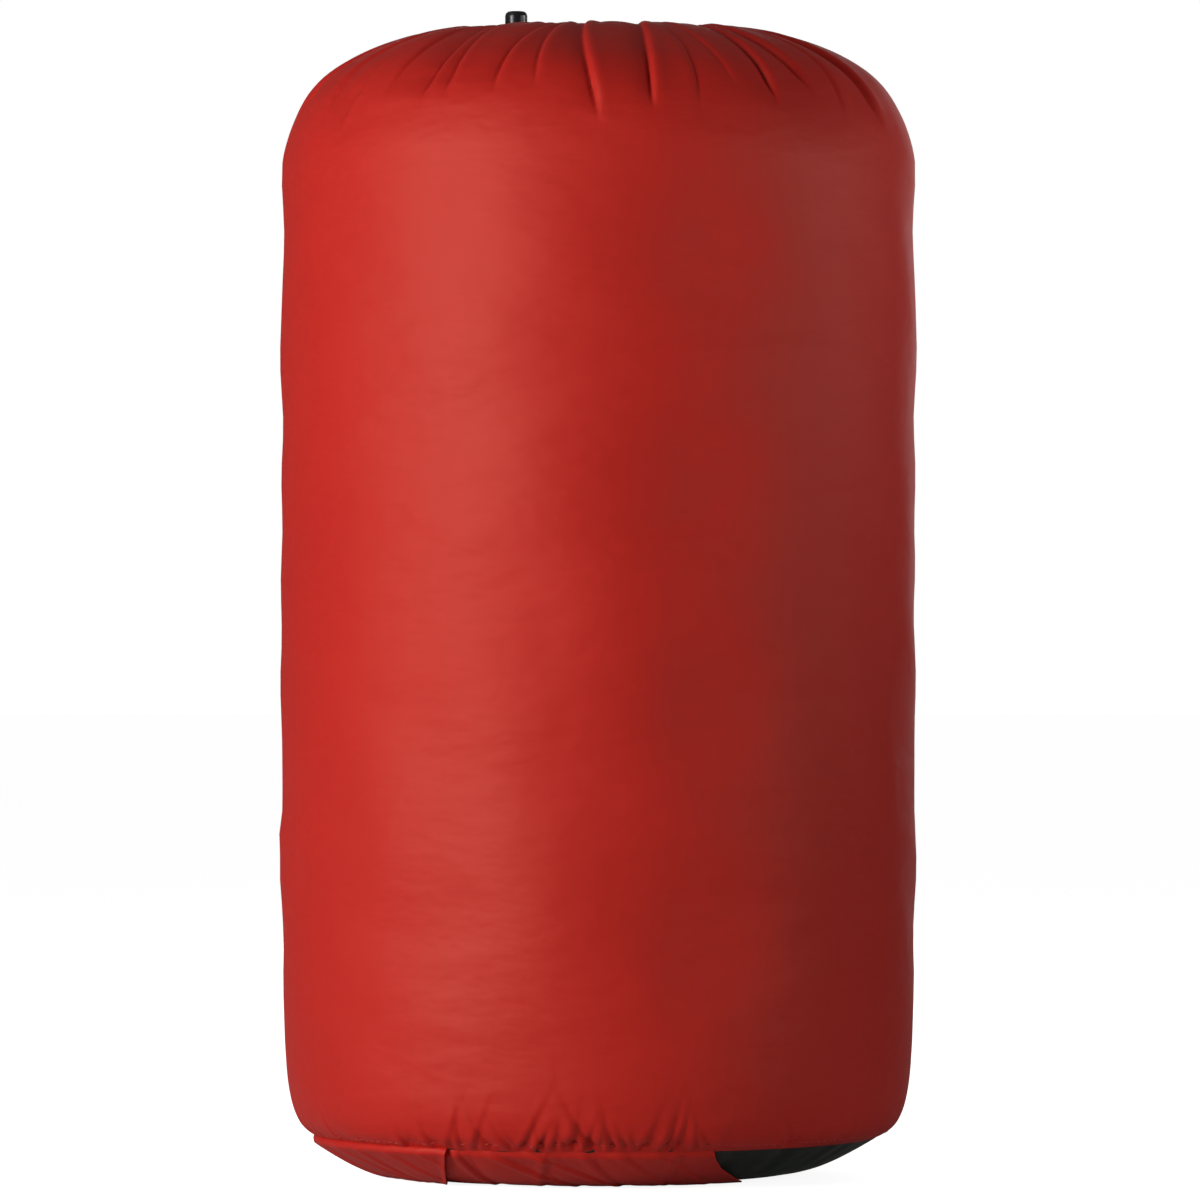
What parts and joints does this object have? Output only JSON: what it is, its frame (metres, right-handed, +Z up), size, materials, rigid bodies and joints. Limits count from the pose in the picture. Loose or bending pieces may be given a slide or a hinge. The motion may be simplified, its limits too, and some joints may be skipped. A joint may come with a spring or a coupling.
{
  "type": "packed rectangular sleeping bag",
  "caption": "Rectangular sleeping bag folded and rolled inside an upright nylon stuff sack with a gathered drawcord mouth, cord lock and round base.",
  "frame": {"origin": "centre of the round base, on the floor", "axes": "+Z up along the sack's axis towards the drawn mouth, -Y the front, +X the right as seen from the front"},
  "size_m": [0.2599, 0.2642, 0.478],
  "materials": {
    "sack_nylon": "red plain-weave nylon taffeta with a soft sheen",
    "red_thread": "polyester thread",
    "base_nylon": "dark green nylon taffeta with a soft sheen",
    "eyelet_metal": "black enamel",
    "black_cord": "braided polyester",
    "lock_plastic": "moulded, glossy",
    "spring_steel": "bright wire",
    "label_satin": "blank woven satin",
    "fibre_fill": "hollow-fibre batting",
    "liner_polyester": "brushed polyester",
    "black_tape": "woven tape",
    "zip_nylon": "moulded nylon coil",
    "zip_metal": "dark enamel"
  },
  "bodies": {
    "packed_bag": {"sack_body": "sack_nylon", "side_seam_strip": "sack_nylon", "side_seam_thread": "red_thread", "base_panel": "base_nylon", "base_binding_front": "sack_nylon", "base_binding_rear": "sack_nylon", "base_seam_thread": "red_thread", "drawcord_channel": "sack_nylon", "channel_thread": "red_thread", "cord_eyelet": "eyelet_metal", "drawcord_loop": "black_cord", "drawcord_tail_a": "black_cord", "drawcord_tail_b": "black_cord", "drawcord_knot": "black_cord", "care_label": "label_satin", "bag_shell": "base_nylon", "bag_insulation": "fibre_fill", "bag_liner": "liner_polyester", "zip_tape_inner": "black_tape", "zip_tape_outer": "black_tape", "zip_chain": "zip_nylon", "zip_stops": "zip_metal", "closure_tab": "black_tape", "tie_ribbon_upper": "black_tape", "tie_ribbon_lower": "black_tape"},
    "cord_lock": {"cord_lock_body": "lock_plastic", "cord_lock_spring": "spring_steel"},
    "lock_button": {"cord_lock_button": "lock_plastic"},
    "head_slider": {"head_zip_slider": "zip_metal"},
    "head_pull": {"head_zip_pull": "lock_plastic"},
    "foot_slider": {"foot_zip_slider": "zip_metal"},
    "foot_pull": {"foot_zip_pull": "lock_plastic"}
  },
  "joints": [
    {"name": "cord_lock_slide", "type": "slide", "parent": "packed_bag", "child": "cord_lock", "axis": [0, 1, 0], "range_m": [-0.003, 0.014]},
    {"name": "lock_button_press", "type": "slide", "parent": "cord_lock", "child": "lock_button", "axis": [0, 0, -1], "range_m": [0, 0.0035], "stiffness_N_per_m": 1500, "springref_m": -0.002, "deforming": ["cord_lock_spring"]},
    {"name": "head_slider_run", "type": "hinge", "parent": "packed_bag", "child": "head_slider", "pos_m": [0, 0.00286, 0.43], "axis": [0, 0, 1], "range_deg": [-8, 150]},
    {"name": "head_pull_swing", "type": "hinge", "parent": "head_slider", "child": "head_pull", "pos_m": [-0.10441, -0.02317, 0.4327], "axis": [-0.9703, -0.2419, 0], "range_deg": [0, 34]},
    {"name": "foot_slider_run", "type": "hinge", "parent": "packed_bag", "child": "foot_slider", "pos_m": [0, 0.00286, 0.43], "axis": [0, 0, 1], "range_deg": [-110, 8]},
    {"name": "foot_pull_swing", "type": "hinge", "parent": "foot_slider", "child": "foot_pull", "pos_m": [0.01305, -0.00627, 0.4327], "axis": [0.8192, -0.5736, 0], "range_deg": [0, 55]}
  ]
}
